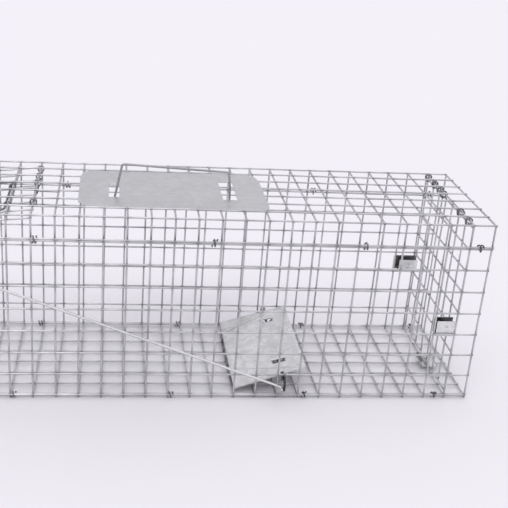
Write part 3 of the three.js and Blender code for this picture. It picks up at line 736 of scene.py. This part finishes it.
# painted shade: the strap slots and the turned-down front lip are marked dark
sheet_piece("treadle_sheet", pan.v, pan.f, T, "pan", "treadle", ["treadle_pan"],
            place=Matrix.Translation((X(12.28), Y(3.5), AZ)) @ Matrix.Rotation(-PT, 4, "Y"), crease=50,
            marks={"shade": lambda p: 0.9 if abs(p[0]) < SX_ - 0.0012 and abs(abs(p[1]) - 0.052) < SY0 + 1e-5
                   else min(1.0, max(0.0, (-ahead - p[0]) / 0.0003)),
                   "fold_far": lambda p: ((p[1] - inner) * cu - (p[0] + ahead) * cv) / cl,
                   "fold_near": lambda p: ((-p[1] - inner) * cu - (p[0] + ahead) * cv) / cl})

# hangers: a strap hooked over the second wall wire, with an eye cut for the axle
for side, yw, s in (("near", YW, -1), ("far", YF, 1)):
    g = 0.0019
    inn, top = yw - s * g, Z(1) + g
    arc = [v3(0, yw - s * g * math.cos(q), Z(1) + g * math.sin(q)) for q in np.linspace(0, math.radians(200), 11)]
    prof = [v3(0, inn, AZ - 0.0046), v3(0, inn, AZ - 0.0030)] + [v3(0, inn, AZ + 0.0030)] + arc
    pt = Patch()
    wide = 0.0034
    # eye cut in the strap: a square ring of faces round the axle
    ring = [(math.cos(q), math.sin(q)) for q in np.linspace(0, 2 * math.pi, 17)[:-1]]
    r0, hw, hz = 0.0019, wide, 0.0040
    def edge(q):
        c, d = ring[q % 16]
        k = min(hw / abs(c) if abs(c) > 1e-6 else 9, hz / abs(d) if abs(d) > 1e-6 else 9)
        return v3(X(12.28) + c * k, inn, AZ + d * k)
    for q in range(16):
        a = v3(X(12.28) + ring[q][0] * r0, inn, AZ + ring[q][1] * r0)
        b = v3(X(12.28) + ring[(q + 1) % 16][0] * r0, inn, AZ + ring[(q + 1) % 16][1] * r0)
        pt.quad(a, edge(q), edge(q + 1), b)
    up = [v3(X(12.28), inn, AZ + hz + (Z(1) - AZ - hz) * k / 3) for k in range(4)]
    arcx = [v3(X(12.28), p[1], p[2]) for p in arc[1:]]
    cols = [v3(X(12.28) + e, 0, 0) for e in sorted({round(edge(q)[0] - X(12.28), 6) for q in range(16) if abs(edge(q)[2] - AZ - hz) < 1e-7})]
    xsn = [c[0] for c in cols]
    for a, b in zip(xsn, xsn[1:]):
        for p, q in zip(up + arcx, (up + arcx)[1:]):
            pt.quad(v3(a, p[1], p[2]), v3(b, p[1], p[2]), v3(b, q[1], q[2]), v3(a, q[1], q[2]))
    # painted shade: the near strap is marked much darker than the far one
    sheet_piece(f"hanger_strap_{side}", pt.v, pt.f, 0.0008, "bracket", "cage", [f"axle_hanger_{side}"],
                marks={"shade": lambda p, k=side: 0.85 if k == "near" else 0.2})


def rounded(pts, r, n=5):
    return fillet([np.array(p, float) for p in pts], r, n)


def dimple(c, r, h, axis):
    """Presses a small round boss into a face."""
    def warp(p):
        d = math.hypot(*[p[k] - c[k] for k in range(3) if k != axis])
        if d > r:
            return p
        q = p.copy()
        q[axis] += h * (0.5 + 0.5 * math.cos(math.pi * min(1, max(0, (d / r - 0.35) / 0.65))))
        return q
    return warp


# wall brackets: a bossed face folded up from the foot of a plain back plate, open at the top and sides
for side, yl, yd, xd0, gap, xl1, za, zf, zd in (
        ("near", YW + 0.0019, YW + 0.0101, X(19.06), 0.0012, X(19.94), Z(2.88), Z(3.59), Z(3.64)),
        ("far", YF - 0.0101, YF - 0.0019, X(18.90), 0.0062, X(20.1), Z(3.13), Z(3.75), Z(3.87))):
    rb = 0.0015
    xl0, flat_x1 = xd0 + gap, min(xl1, X(19.93))
    boss = dimple(v3((xl0 + xl1) / 2 + 0.001, yl, za + (zf - za) * 0.50), 0.0042, -0.0008, 1)
    pt = Patch()
    cols = [xd0 + (xl0 - xd0) * k / 4 for k in range(4)] + [xl0 + (flat_x1 - xl0) * k / 16 for k in range(17)]
    if xl1 > flat_x1 + 1e-6:
        cols += [flat_x1 + (xl1 - flat_x1) * k / 3 for k in (1, 2, 3)]
    arc = [(math.sin(q), math.cos(q)) for q in np.linspace(0, math.pi / 2, 5)]
    front_fold = [(yl + rb * (1 - c), za + rb * (1 - n_)) for n_, c in arc]
    back_fold = [(yd - rb * (1 - c), za + rb * (1 - n_)) for n_, c in reversed(arc)]
    for p, q in zip(cols, cols[1:]):
        for k in range(14):
            z0_, z1_ = (za + rb + (zd - za - rb) * m_ / 14 for m_ in (k, k + 1))
            pt.quad(v3(p, yd, z0_), v3(q, yd, z0_), v3(q, yd, z1_), v3(p, yd, z1_))
            if p >= xl0 - 1e-7:
                z0_, z1_ = (za + rb + (zf - za - rb) * m_ / 14 for m_ in (k, k + 1))
                pt.quad(*[boss(c) for c in (v3(q, yl, z0_), v3(p, yl, z0_), v3(p, yl, z1_), v3(q, yl, z1_))])
        if xl0 - 1e-7 <= p and q <= flat_x1 + 1e-7:
            strip = front_fold + back_fold
            for (y0_, z0_), (y1_, z1_) in zip(strip, strip[1:]):
                pt.quad(v3(p, y0_, z0_), v3(q, y0_, z0_), v3(q, y1_, z1_), v3(p, y1_, z1_))
    # painted shade: the back plate, except a narrow left flange, is marked dark for the shadowed inside of the pocket
    sheet_piece(f"pocket_{side}", pt.v, pt.f, 0.0008, "bracket", "cage", [f"bracket_{side}"],
                marks={"shade": lambda p, a=yl, b=yd - yl, x=xd0: 1.0 if (p[1] - a) / b > 0.93 and p[0] > x + 0.0024 else 0.0})

# floor bracket: a curled clip under the foot of the rear panel
pt = Patch()
fz = FOOT + 0.0015 + 0.0004
curl = [(X(19.74) - 0.0035 * math.sin(q), 0, fz + 0.0042 - 0.0042 * math.cos(q)) for q in np.linspace(0, math.radians(170), 12)]
prof = [np.array(p, float) for p in reversed(curl)] + [v3(X(19.95), 0, fz), v3(X(20.2), 0, fz), v3(X(20.42), 0, fz), v3(X(20.46), 0, fz + 0.0003), v3(X(20.48), 0, fz + 0.0014)]
pt.sweep(prof, (0, Y(2.52), 0), (0, Y(3.42), 0), 8, dimple(v3(X(20.15), Y(2.95), fz), 0.0036, 0.0007, 2))
# painted shade: the top of the curl is marked dark and the rest of the clip lightly shaded
sheet_piece("floor_clip", pt.v, pt.f, 0.0008, "bracket", "cage", ["bracket_floor"],
            marks={"shade": lambda p: 0.9 if p[2] > fz + 0.0062 else 0.35})

# ---- stage, light, camera ----------------------------------------------
fm, ft, fb = nodes_of("stage_floor")
fb.inputs["Base Color"].default_value = (0.78, 0.769, 0.795, 1)
fb.inputs["Roughness"].default_value = 0.9
fb.inputs["Specular IOR Level"].default_value = 0.0
me = bpy.data.meshes.new("stage_floor")
me.from_pydata([(-6, -4, 0), (6, -4, 0), (6, 6, 0), (-6, 6, 0)], [], [(0, 1, 2, 3)])
floor = bpy.data.objects.new("stage_floor", me)
floor.location.z = -0.0002
bpy.context.scene.collection.objects.link(floor)
me.materials.append(fm)

w = bpy.data.worlds.new("studio")
bpy.context.scene.world = w
w.use_nodes = True
wt = w.node_tree
bg = wt.nodes["Background"]
tc = wt.nodes.new("ShaderNodeTexCoord")
sp = wt.nodes.new("ShaderNodeSeparateXYZ")
wt.links.new(tc.outputs["Generated"], sp.inputs[0])
sky = ramp(wt, sp.outputs[2], [(0.0, (0.44, 0.438, 0.455)), (0.22, (0.64, 0.635, 0.66)), (0.60, (1.05, 1.03, 1.09))])
wt.links.new(sky, bg.inputs[0])
bg.inputs[1].default_value = 0.96


def sun(name, toward, power, spread, color=(1, 1, 1)):
    li = bpy.data.lights.new(name, "SUN")
    li.energy, li.angle, li.color = power, math.radians(spread), color
    o = bpy.data.objects.new(name, li)
    o.rotation_euler = Vector(toward).to_track_quat("-Z", "Y").to_euler()
    bpy.context.scene.collection.objects.link(o)


sun("key", (0.30, 0.62, -1.0), 0.66, 28, (1, 0.99, 0.975))
sun("back", (-0.20, -0.62, -1.0), 0.20, 40, (1, 1, 1))

cam = bpy.data.cameras.new("camera")
co = bpy.data.objects.new("camera", cam)
bpy.context.scene.collection.objects.link(co)
cam.sensor_width, cam.lens = 36, 66.966
cam.shift_x = 0.0551
M3 = Matrix(((0.992315, -0.018857, -0.122292), (-0.104792, 0.397494, -0.911602), (0.0658, 0.917411, 0.392463)))
co.matrix_world = Matrix.Translation((-0.0572, -1.02065, 0.58434)) @ M3.to_4x4()
cam.clip_start, cam.clip_end = 0.01, 30
bpy.context.scene.camera = co
bpy.context.scene.view_settings.view_transform = "Standard"
